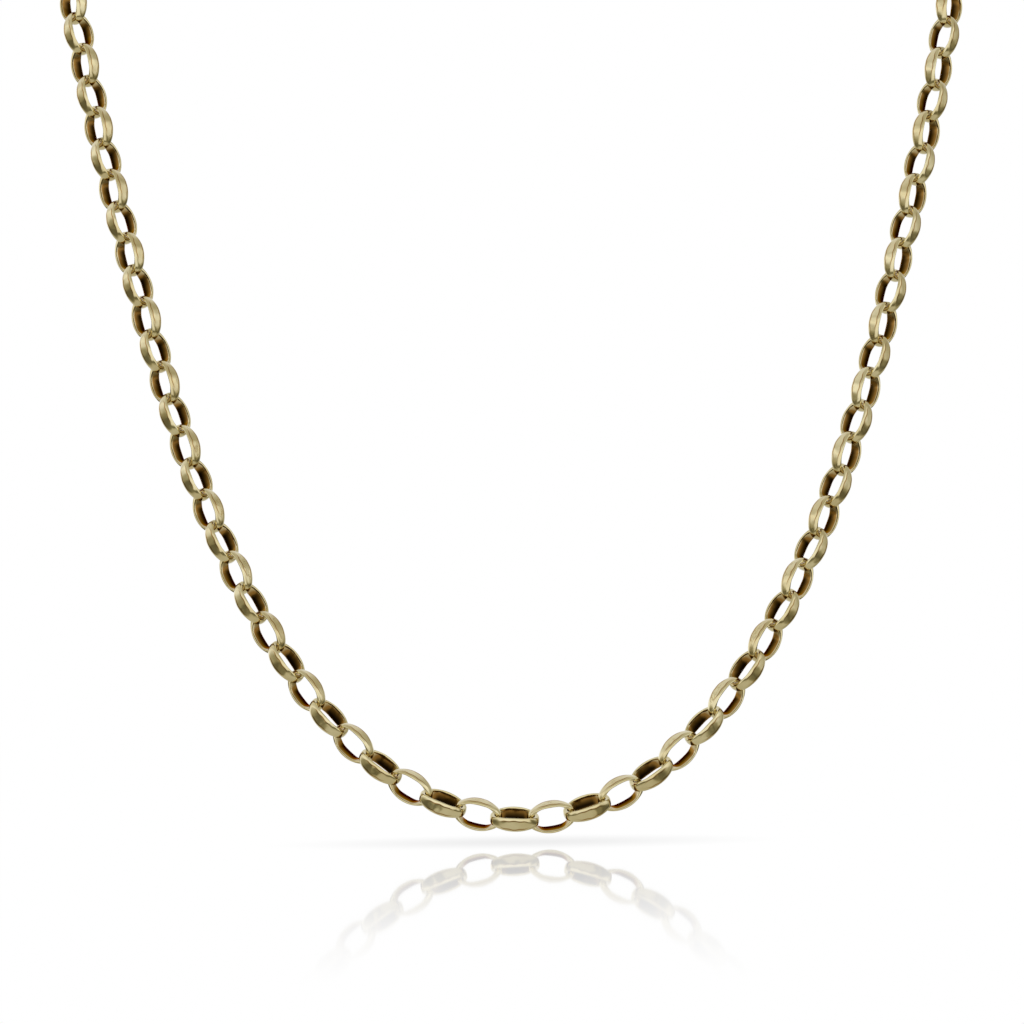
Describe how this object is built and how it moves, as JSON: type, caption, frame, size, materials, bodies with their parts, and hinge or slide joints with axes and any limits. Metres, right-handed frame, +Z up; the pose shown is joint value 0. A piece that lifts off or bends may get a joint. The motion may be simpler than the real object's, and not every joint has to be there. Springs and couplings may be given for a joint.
{
  "type": "rolo neck chain",
  "caption": "Closed neck chain of interlocked oval domed links with hammered leaf-shaped flats, joined by one plain ring at the nape, hanging as worn.",
  "frame": {"origin": "middle of the nape, where the chain hangs on the back of a neck", "axes": "+Z up, -Y to the front of the wearer, +X to the right as seen from the front"},
  "size_m": [0.1241, 0.1186, 0.1505],
  "materials": {
    "gold": "polished pale yellow gold"
  },
  "bodies": {
    "root": {"chain_left": "gold", "chain_right": "gold", "clasp_ring": "gold"}
  },
  "joints": []
}
